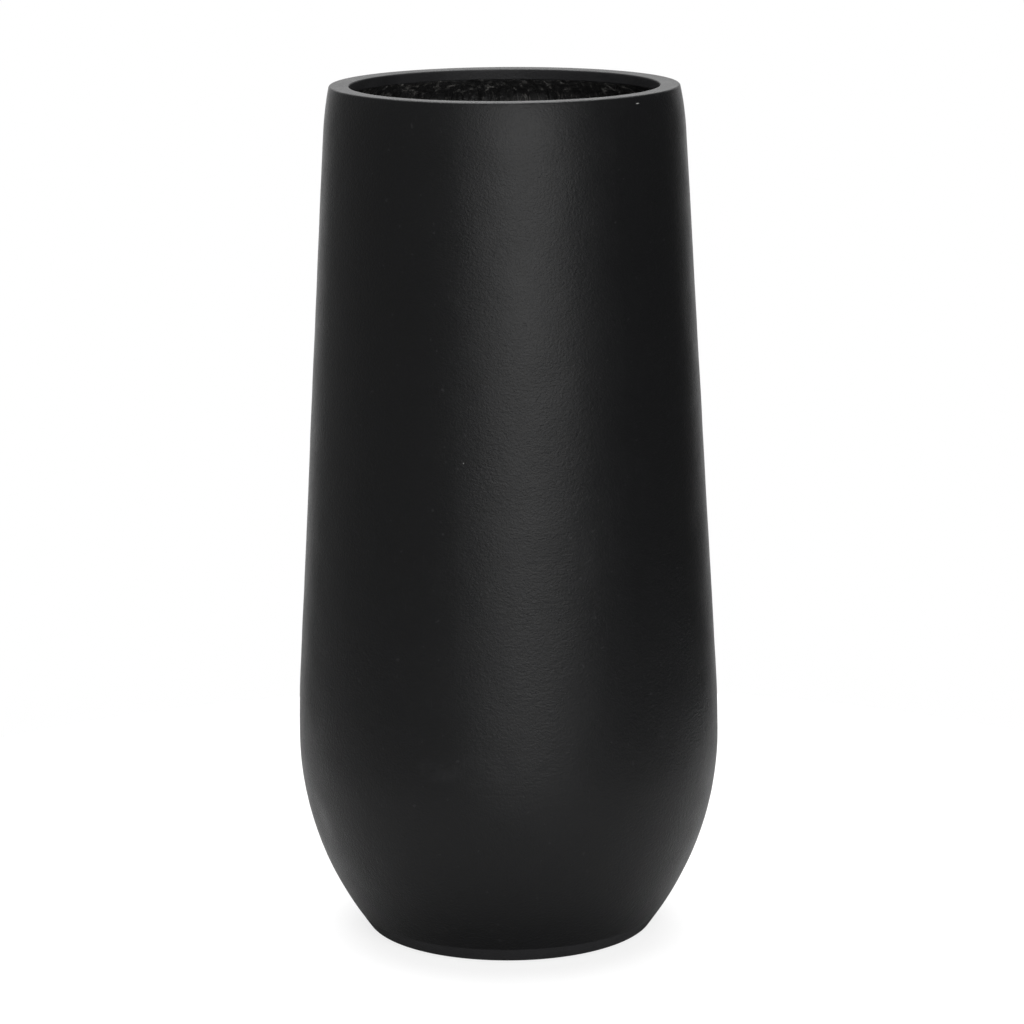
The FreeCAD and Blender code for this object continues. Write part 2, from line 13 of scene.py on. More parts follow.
import bpy
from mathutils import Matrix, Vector


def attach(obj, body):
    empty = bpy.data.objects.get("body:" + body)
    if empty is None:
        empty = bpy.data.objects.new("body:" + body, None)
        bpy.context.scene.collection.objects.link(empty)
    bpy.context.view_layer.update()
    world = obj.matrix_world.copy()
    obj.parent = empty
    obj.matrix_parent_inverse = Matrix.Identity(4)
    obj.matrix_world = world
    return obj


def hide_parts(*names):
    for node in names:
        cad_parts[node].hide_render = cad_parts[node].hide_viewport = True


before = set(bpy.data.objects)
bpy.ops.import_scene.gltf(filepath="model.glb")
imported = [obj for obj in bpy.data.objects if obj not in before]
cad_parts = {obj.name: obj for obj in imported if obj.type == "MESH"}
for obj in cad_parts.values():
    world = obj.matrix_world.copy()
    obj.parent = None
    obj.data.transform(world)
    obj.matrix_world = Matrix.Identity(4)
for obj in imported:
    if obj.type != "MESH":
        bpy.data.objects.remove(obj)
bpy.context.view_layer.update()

Point = tuple[float, float]
Triple = tuple[float, float, float]
Colour = Triple
Spots = tuple[tuple[Triple, Triple], ...]
Lumps = tuple[tuple[float, float], ...]

QUARTER = math.pi / 2
FULL = math.tau
TINY = 1e-6
WELD = 1e-5
log = logging.getLogger("planter")


class Body(Enum):
    """The moving bodies that pieces ride on."""

    PLANTER = "planter"
    PLUG = "plug"


# -------------------- sections


@dataclass(frozen=True)
class Arc:
    """A circular arc in a section, whose points are given in radius and height."""

    centre: Point
    radius: float

    def within(self, depth: float) -> "Arc":
        """The same arc at a depth inside it."""
        return Arc(self.centre, self.radius - depth)

    def point(self, angle: float) -> Point:
        """The arc's point at an angle."""
        return self.centre[0] + self.radius * math.cos(angle), self.centre[1] + self.radius * math.sin(angle)

    def angle(self, place: Point) -> float:
        """Angle at which a place lies about the arc's centre."""
        return math.atan2(place[1] - self.centre[1], place[0] - self.centre[0])

    def reach(self, height: float) -> float:
        """The arc's distance from the planter's axis at a height."""
        return self.centre[0] + math.sqrt(self.radius**2 - (height - self.centre[1]) ** 2)

    def seat(self, radius: float, level: float) -> "Arc":
        """A smaller round that touches the arc from inside, with its own centre at a level."""
        return Arc((self.within(radius).reach(level), level), radius)

    def meet(self, start: Point, slope: float) -> Point:
        """Follows a falling line outward until it meets the arc.

        Args:
            start: Where the line starts.
            slope: How steeply it falls.

        Returns:
            The point where they meet.
        """
        offset = Vector(start) - Vector(self.centre)
        heading = Vector((math.cos(slope), -math.sin(slope)))
        along = offset.dot(heading)
        run = math.sqrt(along**2 - offset.length_squared + self.radius**2) - along
        return start[0] + run * heading.x, start[1] + run * heading.y


class Profile:
    """A section's line, drawn point by point in radius and height."""

    def __init__(self, radius: float, height: float) -> None:
        """Starts the line at a distance from the axis and a height."""
        self.points: list[Point] = [(radius, height)]

    def line(self, radius: float, height: float, pitch: float = math.inf) -> "Profile":
        """Draws a straight run.

        Args:
            radius: Distance of its end from the axis.
            height: Height of its end.
            pitch: Longest step along the run.

        Returns:
            The profile itself.
        """
        start = self.points[-1]
        steps = max(1, math.ceil(math.dist(start, (radius, height)) / pitch - TINY))
        for step in range(1, steps + 1):
            share = step / steps
            self.points.append((start[0] + (radius - start[0]) * share, start[1] + (height - start[1]) * share))
        return self

    def lines(self, *ends: tuple[float, ...]) -> "Profile":
        """Draws several straight runs.

        Args:
            ends: Each run's values, as line takes them.

        Returns:
            The profile itself.
        """
        for end in ends:
            self.line(*end)
        return self

    def retrace(self, other: "Profile") -> "Profile":
        """Goes back along another profile, from its end to its start."""
        self.points.extend(reversed(other.points))
        return self

    def arc(self, arc: Arc, first: float, last: float, pitch: float) -> "Profile":
        """Draws an arc, and a line to its start where the profile isn't there yet.

        Args:
            arc: The arc.
            first: Angle at which it starts.
            last: Angle at which it ends.
            pitch: Longest step along the arc.

        Returns:
            The profile itself.
        """
        steps = max(2, math.ceil(abs(last - first) * arc.radius / pitch))
        for step in range(steps + 1):
            place = arc.point(first + (last - first) * step / steps)
            if math.dist(place, self.points[-1]) > TINY:
                self.points.append(place)
        return self


@dataclass(frozen=True)
class Outline:
    """The planter's outline: lower wall, belly, straight taper and shoulder, one running into the next."""

    height: float = 1.0
    foot_level: float = 0.003
    foot_radius: float = 0.1615
    foot_fillet: float = 0.010
    belly_radius: float = 0.248
    belly_height: float = 0.237
    belly_arc: float = 1.290
    shoulder_arc: float = 0.273
    mouth_radius: float = 0.201
    rim_lean: float = math.radians(14.3)
    recess_radius: float = 0.1305

    @property
    def lower(self) -> Arc:
        """The lower wall's arc, which runs into the foot's fillet.

        Returns:
            The arc.
        """
        swell = self.belly_radius - self.foot_radius
        fall = self.belly_height - self.foot_level - self.foot_fillet
        radius = (swell**2 + fall**2 - self.foot_fillet**2) / (2 * (swell - self.foot_fillet))
        return Arc((self.belly_radius - radius, self.belly_height), radius)

    @property
    def belly(self) -> Arc:
        """The belly's arc."""
        return Arc((self.belly_radius - self.belly_arc, self.belly_height), self.belly_arc)

    @property
    def shoulder(self) -> Arc:
        """The shoulder's arc, which ends at the mouth."""
        arc, lean = self.shoulder_arc, self.rim_lean
        return Arc((self.mouth_radius - arc * math.cos(lean), self.height - arc * math.sin(lean)), arc)

    @property
    def taper_angle(self) -> float:
        """Angle of the wall's normal on the straight taper.

        Returns:
            The angle above the level.
        """
        across = self.shoulder.centre[0] - self.belly.centre[0]
        up = self.shoulder.centre[1] - self.belly.centre[1]
        narrowing = (self.belly_arc - self.shoulder_arc) / math.hypot(across, up)
        return math.atan2(up, across) - math.acos(narrowing)

    def arcs(self, depth: float) -> list[Arc]:
        """The wall's three arcs, from the foot up, at a depth below its face."""
        return [arc.within(depth) for arc in (self.lower, self.belly, self.shoulder)]

    def radius_at(self, height: float, depth: float = 0.0) -> float:
        """Finds the wall.

        Args:
            height: Height above the floor.
            depth: Depth below the wall's face.

        Returns:
            The wall's distance from the axis there.
        """
        lower, belly, shoulder = self.arcs(depth)
        angle = self.taper_angle
        start, foot = belly.point(angle)
        if foot <= height < shoulder.point(angle)[1]:
            return start - (height - foot) * math.tan(angle)
        if height < self.belly_height:
            return lower.reach(height)
        return (belly if height < foot else shoulder).reach(height)

    def draw_layer(
        self, depth: float, fillet: float, last: float, pitch: float, fillet_pitch: float,
        foot_pitch: float = math.inf,
    ) -> Profile:
        """Draws a layer from the recess over the foot and up the wall to the rim.

        Args:
            depth: Depth below the face.
            fillet: Radius between foot and wall.
            last: Angle at which the shoulder ends.
            pitch: Longest step along the wall.
            fillet_pitch: Longest step along the fillet.
            foot_pitch: Longest step along the foot.

        Returns:
            The profile, open at both ends.
        """
        lower, belly, shoulder = self.arcs(depth)
        level = self.foot_level + depth
        bend = lower.seat(fillet, level + fillet)
        first, normal = lower.angle(bend.centre), self.taper_angle

        profile = Profile(self.recess_radius, level).line(bend.centre[0], level, foot_pitch)
        profile.arc(bend, -QUARTER, first, fillet_pitch)
        profile.arc(lower, first, 0, pitch).arc(belly, 0, normal, pitch)
        return profile.line(*shoulder.point(normal), pitch).arc(shoulder, normal, last, pitch)


# -------------------- modelling


class Bench:
    """Modelling steps on one mesh at a time, as they are done by hand."""

    @staticmethod
    def clear() -> None:
        """Leaves edit mode and selects nothing."""
        if bpy.context.object and bpy.context.object.mode != "OBJECT":
            bpy.ops.object.mode_set(mode="OBJECT")
        bpy.ops.object.select_all(action="DESELECT")

    @staticmethod
    def hold(piece: bpy.types.Object) -> None:
        """Makes a piece the only selected one.

        Args:
            piece: The piece to work on.
        """
        Bench.clear()
        piece.select_set(True)
        bpy.context.view_layer.objects.active = piece

    @staticmethod
    def edit(piece: bpy.types.Object) -> None:
        """Opens a piece in edit mode with all of its points selected.

        Args:
            piece: The piece to open.
        """
        Bench.hold(piece)
        bpy.ops.object.mode_set(mode="EDIT")
        bpy.ops.mesh.select_mode(type="VERT")
        bpy.ops.mesh.select_all(action="SELECT")

    @staticmethod
    def start_line(name: str, place: Vector) -> bpy.types.Object:
        """Starts a mesh as one point, open in edit mode.

        Args:
            name: The new piece's name.
            place: Where the point lies.

        Returns:
            The new piece.
        """
        Bench.clear()
        bpy.ops.mesh.primitive_plane_add(size=0.01)
        piece = bpy.context.object
        piece.name = piece.data.name = name
        Bench.edit(piece)
        bpy.ops.mesh.merge(type="CENTER")
        bpy.ops.transform.translate(value=place)
        return piece

    @staticmethod
    def draw_on(step: Vector) -> None:
        """Extrudes the selected point by a step."""
        bpy.ops.mesh.extrude_vertices_move(TRANSFORM_OT_translate={"value": step})

    @staticmethod
    def lathe(name: str, profile: Profile, steps: int, closed: bool = True) -> bpy.types.Object:
        """Turns a profile about the planter's axis.

        Args:
            name: The new piece's name.
            profile: The section to turn.
            steps: Number of steps round the axis.
            closed: Whether the section closes on itself.

        Returns:
            The new piece, in object mode.
        """
        points = [Vector((radius, 0, height)) for radius, height in profile.points]
        if closed and (points[0] - points[-1]).length > TINY:
            points.append(points[0])
        piece = Bench.start_line(name, points[0])
        for start, end in zip(points, points[1:]):
            Bench.draw_on(end - start)
        bpy.ops.mesh.select_all(action="SELECT")
        bpy.ops.mesh.spin(steps=steps, angle=FULL, center=(0, 0, 0), axis=(0, 0, 1))
        bpy.ops.mesh.select_all(action="SELECT")
        bpy.ops.mesh.remove_doubles(threshold=WELD)
        bpy.ops.mesh.normals_make_consistent(inside=False)
        Bench.clear()
        return piece

    @staticmethod
    def pick(piece: bpy.types.Object, test: Callable[[Vector], bool]) -> None:
        """Selects the points of a piece that pass a test, and opens it in edit mode.

        Args:
            piece: The piece whose points are picked.
            test: Takes a point's place and says whether it is picked.
        """
        Bench.edit(piece)
        bpy.ops.mesh.select_all(action="DESELECT")
        bpy.ops.object.mode_set(mode="OBJECT")
        piece.data.vertices.foreach_set("select", [test(vertex.co) for vertex in piece.data.vertices])
        bpy.ops.object.mode_set(mode="EDIT")

    @staticmethod
    def finish(piece: bpy.types.Object, kind: str, **settings: object) -> None:
        """Adds a modifier to a piece and applies it.

        Args:
            piece: The piece to change.
            kind: The modifier's type.
            settings: The modifier's settings by name.
        """
        Bench.hold(piece)
        modifier = piece.modifiers.new(kind.lower(), kind)
        for name, value in settings.items():
            setattr(modifier, name, value)
        bpy.ops.object.modifier_apply(modifier=modifier.name)

    @staticmethod
    def roughen(
        piece: bpy.types.Object, zone: str, share: Callable[[Vector], float], lumps: Lumps, **settings: object
    ) -> None:
        """Presses a cloudy unevenness into one zone of a piece.

        Args:
            piece: The piece to change.
            zone: The zone's name.
            share: Takes a point's place and says how far it belongs to the zone, from 0 to 1.
            lumps: Size and depth of each unevenness in turn.
            settings: More settings of the Displace modifier.
        """
        group = piece.vertex_groups.new(name=zone)
        for vertex in piece.data.vertices:
            weight = share(vertex.co)
            if weight > 0:
                group.add([vertex.index], min(1.0, weight), "REPLACE")
        options = {"mid_level": 1.0, "texture_coords": "LOCAL", "vertex_group": zone, **settings}
        for grain, depth in lumps:
            clouds = bpy.data.textures.new(f"{piece.name}_clouds", "CLOUDS")
            clouds.noise_scale = grain
            clouds.noise_depth = 2
            Bench.finish(piece, "DISPLACE", texture=clouds, strength=depth, **options)

    @staticmethod
    def smooth(piece: bpy.types.Object, angle: float = 40) -> None:
        """Shades a piece smooth, except over edges sharper than an angle in degrees."""
        Bench.hold(piece)
        bpy.ops.object.shade_smooth_by_angle(angle=math.radians(angle))

    @staticmethod
    def copy(piece: bpy.types.Object, name: str) -> bpy.types.Object:
        """Copies a piece with a mesh of its own.

        Args:
            piece: The piece to copy.
            name: The copy's name.

        Returns:
            The copy.
        """
        Bench.hold(piece)
        bpy.ops.object.duplicate(linked=False)
        double = bpy.context.object
        double.name = double.data.name = name
        return double

    @staticmethod
    def settle(piece: bpy.types.Object) -> None:
        """Moves a piece's place into its mesh."""
        Bench.hold(piece)
        bpy.ops.object.transform_apply(location=True, rotation=True, scale=True)

    @staticmethod
    def join(pieces: list[bpy.types.Object]) -> bpy.types.Object:
        """Joins pieces.

        Args:
            pieces: The pieces to join.

        Returns:
            The first of them, which now holds them all.
        """
        Bench.hold(pieces[0])
        for piece in pieces:
            piece.select_set(True)
        bpy.ops.object.join()
        return pieces[0]


# -------------------- materials


@dataclass(frozen=True)
class Cloud:
    """A cloudy pattern: its scale in clouds to the metre, its detail, the edge over which it fills, and its turn."""

    scale: float | Triple
    detail: float = 2.0
    rough: float = 0.5
    warp: float = 0.0
    edge: Point | None = None
    turned: Triple | None = None


class Wire:
    """A shader's socket that takes part in sums."""

    def __init__(self, recipe: "Recipe", socket: bpy.types.NodeSocket) -> None:
        """Wraps an output socket of a recipe."""
        self.recipe = recipe
        self.socket = socket

    def sum(self, operation: str, *values: "Wire | float") -> "Wire":
        """Adds a Math node that works on the values, in their order."""
        return self.recipe.add("ShaderNodeMath", {"operation": operation}, dict(enumerate(values)))[0]

    def __add__(self, other: "Wire | float") -> "Wire":
        """Adds a value."""
        return self.sum("ADD", self, other)

    __radd__ = __add__

    def __sub__(self, other: "Wire | float") -> "Wire":
        """Takes a value away."""
        return self.sum("SUBTRACT", self, other)

    def __rsub__(self, other: float) -> "Wire":
        """Is taken away from a number."""
        return self.sum("SUBTRACT", other, self)

    def __mul__(self, other: "Wire | float") -> "Wire":
        """Multiplies by a value."""
        return self.sum("MULTIPLY", self, other)

    __rmul__ = __mul__

    def between(self, low: float, high: float) -> "Wire":
        """Runs smoothly from 0 at low to 1 at high."""
        settings = {"interpolation_type": "SMOOTHSTEP", "clamp": True}
        return self.recipe.add("ShaderNodeMapRange", settings, {"Value": self, "From Min": low, "From Max": high})[0]


class Recipe:
    """A node tree, and the one way in which nodes are added to it."""

    def __init__(self, tree: bpy.types.NodeTree) -> None:
        """Takes over a tree and empties it."""
        self.tree = tree
        tree.nodes.clear()

    def add(self, kind: str, settings: dict[str, object], inputs: dict[int | str, object]) -> list[Wire]:
        """Adds a node.

        Args:
            kind: The node's type.
            settings: Its settings, set first.
            inputs: Values or wires for its sockets, by name or number.

        Returns:
            Its output sockets, in order.
        """
        node = self.tree.nodes.new(kind)
        for name, value in settings.items():
            setattr(node, name, value)
        for name, value in inputs.items():
            if isinstance(value, Wire):
                self.tree.links.new(value.socket, node.inputs[name])
            else:
                node.inputs[name].default_value = value
        return [Wire(self, socket) for socket in node.outputs if socket.enabled]

    @cached_property
    def place(self) -> Wire:
        """The surface's place on the planter, from the node's Object output."""
        return self.add("ShaderNodeTexCoord", {}, {})[3]

    def ring(self, inner: float, outer: float) -> Wire:
        """Marks what lies near the axis: 1 up to the inner radius, 0 from the outer one."""
        across, along, _ = self.add("ShaderNodeSeparateXYZ", {}, {0: self.place})
        return 1 - (across * across + along * along).between(inner**2, outer**2)

    def spot(self, centre: Triple, reach: Triple, core: float = 0.55) -> Wire:
        """Marks one small spot: 1 on its core, 0 from its half sizes on."""
        distance = self.vector("LENGTH", self.vector("DIVIDE", self.vector("SUBTRACT", self.place, centre), reach))
        return 1 - distance.between(core, 1.0)

    def spots(self, marks: Spots) -> Wire:
        """Marks several small spots together."""
        return sum((self.spot(*mark) for mark in marks[1:]), self.spot(*marks[0]))

    def vector(self, operation: str, *values: Wire | Triple) -> Wire:
        """Adds a Vector Math node that works on the values, in their order."""
        return self.add("ShaderNodeVectorMath", {"operation": operation}, dict(enumerate(values)))[0]

    def noise(self, cloud: Cloud) -> Wire:
        """Adds a cloudy pattern.

        Args:
            cloud: The pattern.

        Returns:
            Its value on the surface, from 0 to 1.
        """
        place, scale = self.place, cloud.scale
        if cloud.turned:
            place = self.add("ShaderNodeMapping", {}, {"Vector": place, "Rotation": cloud.turned})[0]
        if isinstance(scale, tuple):
            place, scale = self.vector("MULTIPLY", place, scale), 1.0
        inputs = {"Vector": place, "Scale": scale, "Detail": cloud.detail, "Roughness": cloud.rough}
        value = self.add("ShaderNodeTexNoise", {}, {**inputs, "Distortion": cloud.warp})[0]
        return value.between(*cloud.edge) if cloud.edge else value

    def blend(self, share: Wire, first: object, second: object) -> Wire:
        """Mixes two colours, given as numbers or wires; 6 and 7 are the node's colour sockets."""
        pair = [(*colour, 1) if isinstance(colour, tuple) else colour for colour in (first, second)]
        return self.add("ShaderNodeMix", {"data_type": "RGBA"}, {0: share, 6: pair[0], 7: pair[1]})[0]

    def bump(self, height: Wire) -> Wire:
        """Turns a height in millimetres into a bumped normal."""
        return self.add("ShaderNodeBump", {}, {"Strength": 1.0, "Distance": 0.001, "Height": height})[0]


@dataclass(frozen=True)
class Finish:
    """What every finish has: its name, the record's slot, and its constant gloss."""

    name: str
    slot: str
    specular: float = 0.5

    def dress(self, piece: bpy.types.Object) -> None:
        """Puts the finish on a piece, and makes its material at first use.

        Args:
            piece: The piece to dress.
        """
        material = bpy.data.materials.get(self.name) or self.make()
        piece.data.materials.clear()
        piece.data.materials.append(material)

    def make(self) -> bpy.types.Material:
        """Makes the material from the finish's own recipe.

        Returns:
            The new material.
        """
        material = bpy.data.materials.new(self.name)
        material.use_nodes = True
        recipe = Recipe(material.node_tree)
        inputs = {"Specular IOR Level": self.specular, **self.mix(recipe)}
        surface = recipe.add("ShaderNodeBsdfPrincipled", {}, inputs)[0]
        recipe.add("ShaderNodeOutputMaterial", {}, {"Surface": surface})
        return material

    def mix(self, recipe: Recipe) -> dict[str, object]:
        """Gives the shader's varying inputs; each finish has its own."""
        raise NotImplementedError


@dataclass(frozen=True)
class FaceCoat(Finish):
    """Black satin coat of the face: fine grain, short wrinkles, faint clouds, specks, chips and scratches, and a
    painted sheen on the inner lip band.
    """

    black: Colour = (0.0030, 0.0031, 0.0033)
    dust_and_sheen_tone: Colour = (0.016, 0.016, 0.017)
    bare_and_glint: Colour = (0.20, 0.20, 0.195)
    gloss: float = 0.37
    wrinkle_depth: float = 0.38
    grain_depth: float = 0.44
    cloud_depth: float = 0.22
    groove_depth: float = 0.12
    chip_depth: float = 0.3
    cloud: Cloud = Cloud(24)
    patch: Cloud = Cloud(6, 1)
    lying: Cloud = Cloud((150, 150, 290), 2.5, 0.6, 0.5)
    upright: Cloud = Cloud((240, 240, 150), 2, 0.55, 0.5)
    turn: Cloud = Cloud(9, 1, edge=(0.54, 0.70))
    calm: Cloud = Cloud(14, 1, edge=(0.30, 0.55))
    grain: Cloud = Cloud(380, 3, 0.7)
    speck: Cloud = Cloud(210, 0, edge=(0.80, 0.86))
    scratch: Cloud = Cloud((900, 900, 26), 0, edge=(0.80, 0.85))
    smear: Cloud = Cloud(30, 3, 0.6, edge=(0.30, 0.75))
    # Radii of the inner lip band, inside which a lighter colour is painted on as sheen.
    lip_ring: Point = (0.1783, 0.1795)
    chips: Spots = (
        ((0.1477, -0.1388, 0.9916), (0.0032, 0.0036, 0.0008)),
        ((-0.0482, -0.2230, 0.6021), (0.0006, 0.0020, 0.0007)),
    )
    smudges: Spots = (
        ((-0.0280, -0.2455, 0.2565), (0.0420, 0.0500, 0.0260)),
        ((-0.0780, -0.2340, 0.2520), (0.0300, 0.0500, 0.0180)),
    )
    grooves: Spots = (
        ((0.0440, -0.2236, 0.6125), (0.0075, 0.0100, 0.0013)),
        ((0.0205, -0.2186, 0.7580), (0.0028, 0.0100, 0.0006)),
        ((0.0205, -0.2186, 0.7555), (0.0034, 0.0100, 0.0006)),
    )

    def mix(self, recipe: Recipe) -> dict[str, object]:
        """Gives the coat's colour, roughness and normal.

        Args:
            recipe: The material's nodes.

        Returns:
            The shader's inputs, by name.
        """
        cloud = recipe.noise(self.cloud)
        grain = recipe.noise(self.grain)
        turn = recipe.noise(self.turn)
        waves = recipe.noise(self.lying) * (1 - turn) + recipe.noise(self.upright) * turn
        wrinkle = waves * (recipe.noise(self.calm) * 0.7 + 0.3)
        worn = recipe.noise(self.speck) + recipe.noise(self.scratch) * 0.5
        chip = recipe.spots(self.chips)
        groove = recipe.spots(self.grooves)
        smudge = recipe.spots(self.smudges) * recipe.noise(self.smear)
        # Painted sheen for the inner lip band: the coat within the lip's radius, the foot's underside included, is
        # coloured lighter and mottled, and made rougher too.
        lip = recipe.ring(*self.lip_ring) * (0.3 + cloud * 1.2)
        swell = wrinkle * self.wrinkle_depth + cloud * self.cloud_depth + grain * self.grain_depth
        # dust mixes the real specks, scratches, clouds and smudges with the painted sheen of the inner lip band.
        dust = worn * 0.5 + recipe.noise(self.patch) * 0.06 + grain * 0.08 + lip + smudge * 0.28
        return {
            "Base Color": recipe.blend(chip, recipe.blend(dust, self.black, self.dust_and_sheen_tone), self.bare_and_glint),
            "Roughness": self.gloss + (cloud - 0.5) * 0.10 + (grain - 0.5) * 0.16 + worn * 0.1 + lip * 0.15,
            "Normal": recipe.bump(swell - groove * self.groove_depth - chip * self.chip_depth),
        }


@dataclass(frozen=True)
class Laminate(Finish):
    """Black resin over glass mat: fuzzy, mottled, wet where the resin pooled."""

    dark: Colour = (0.011, 0.011, 0.0113)
    pale: Colour = (0.055, 0.054, 0.052)
    gloss: float = 0.40
    fibre_depth: float = 0.30
    pool_depth: float = 1.2
    grit_depth: float = 0.50
    upright: Cloud = Cloud((480, 480, 80), 2, 0.6, 0.4, (0.52, 0.72))
    level: Cloud = Cloud((80, 80, 480), 2, 0.6, 0.4, (0.52, 0.72))
    across: Cloud = Cloud((480, 80, 480), 2, 0.6, 0.4, (0.52, 0.72), turned=(0.6, 0.7, 0.8))
    pool: Cloud = Cloud(30, 3, 0.6)
    grit: Cloud = Cloud(430, 3, 0.7)

    def mix(self, recipe: Recipe) -> dict[str, object]:
        """Gives the laminate's colour, roughness and normal.

        Args:
            recipe: The material's nodes.

        Returns:
            The shader's inputs, by name.
        """
        fibre = recipe.noise(self.upright) + recipe.noise(self.level) + recipe.noise(self.across)
        pool = recipe.noise(self.pool)
        grit = recipe.noise(self.grit)
        return {
            "Base Color": recipe.blend(fibre * 0.22 + grit.between(0.55, 0.75) * 0.6, self.dark, self.pale),
            "Roughness": self.gloss + pool.between(0.35, 0.7) * 0.30 - fibre * 0.06,
            "Normal": recipe.bump(fibre * self.fibre_depth + pool * self.pool_depth + grit * self.grit_depth),
        }


@dataclass(frozen=True)
class Strand(Finish):
    """Glass strands that stand out of the resin: greyer, with a wet shine, and coloured pale in one spot under the
    back of the rim as a painted glint.
    """

    dark: Colour = (0.008, 0.008, 0.008)
    pale: Colour = (0.200, 0.195, 0.185)
    # Centre and half sizes of the spot where the strands are coloured pale as a painted glint.
    glint_place: Triple = (0.0210, 0.2000, 0.9615)
    glint_reach: Triple = (0.0150, 0.0300, 0.0085)
    patch: Cloud = Cloud(130, 2, 0.6, edge=(0.50, 0.80))
    grit: Cloud = Cloud(1500, 1)

    def mix(self, recipe: Recipe) -> dict[str, object]:
        """Gives the strands' colour, roughness and normal.

        Args:
            recipe: The material's nodes.

        Returns:
            The shader's inputs, by name.
        """
        grit = recipe.noise(self.grit)
        # Painted glint: the strands in this spot are coloured pale, speckled by the grit.
        bare_and_glint = recipe.spot(self.glint_place, self.glint_reach)
        return {
            "Base Color": recipe.blend(recipe.noise(self.patch) + bare_and_glint * grit, self.dark, self.pale),
            "Roughness": 0.30 + grit * 0.2,
            "Normal": recipe.bump(grit * 0.10),
        }


@dataclass(frozen=True)
class Putty(Finish):
    """Grey filler that was spread by hand."""

    grey: Colour = (0.16, 0.16, 0.15)
    pale: Colour = (0.26, 0.25, 0.23)
    drag: Cloud = Cloud((40, 40, 300), 3, 0.6)
    pore: Cloud = Cloud(600)

    def mix(self, recipe: Recipe) -> dict[str, object]:
        """Gives the putty's colour, roughness and normal.

        Args:
            recipe: The material's nodes.

        Returns:
            The shader's inputs, by name.
        """
        drag = recipe.noise(self.drag)
        pore = recipe.noise(self.pore)
        return {
            "Base Color": recipe.blend(drag, self.grey, self.pale),
            "Roughness": 0.7 + pore * 0.2,
            "Normal": recipe.bump(drag * 0.3 + pore * 0.1),
        }


@dataclass(frozen=True)
class Rubber(Finish):
    """Black rubber with a bloom of dust and a faint moulding grain."""

    black: Colour = (0.018, 0.018, 0.018)
    bloom: Colour = (0.055, 0.053, 0.050)
    cloud: Cloud = Cloud(160, 3, 0.6)
    grain: Cloud = Cloud(2600)

    def mix(self, recipe: Recipe) -> dict[str, object]:
        """Gives the rubber's colour, roughness and normal.

        Args:
            recipe: The material's nodes.

        Returns:
            The shader's inputs, by name.
        """
        cloud = recipe.noise(self.cloud)
        grain = recipe.noise(self.grain)
        return {
            "Base Color": recipe.blend(cloud.between(0.45, 0.8) * 0.7, self.black, self.bloom),
            "Roughness": 0.62 + cloud * 0.25,
            "Normal": recipe.bump(grain * 0.06 + cloud * 0.05),
        }


COAT = FaceCoat("black_face_coat", "face_coat", specular=0.18)
LINING = Laminate("glass_mat_in_resin", "laminate")
STRANDS = Strand("glass_strands", "laminate")
PANEL = Laminate("panel_in_resin", "panel", gloss=0.36, grit_depth=0.2)
STRIP = Laminate("strip_in_resin", "tabbing")
FILLER = Putty("rim_putty", "filler")
PLUG_RUBBER = Rubber("plug_rubber", "plug_rubber")
PAD_RUBBER = Rubber("pad_rubber", "pad_rubber", black=(0.024, 0.024, 0.024))


# -------------------- pieces


@dataclass
class Assembly:
    """What every sub-assembly has: the outline that it follows, and how it hands over a piece."""

    outline: Outline

    def deliver(self, piece: bpy.types.Object, finish: Finish, body: Body, *nodes: str) -> None:
        """Dresses a piece and puts it on its body.

        Args:
            piece: The finished piece.
            finish: Its finish.
            body: The body it rides on.
            nodes: Nodes of the frame that it stands for.
        """
        finish.dress(piece)
        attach(piece, body.value)
        if nodes:
            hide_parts(*nodes)
        triangles = sum(len(face.vertices) - 2 for face in piece.data.polygons)
        log.info("%s: %d triangles, %s", piece.name, triangles, finish.name)


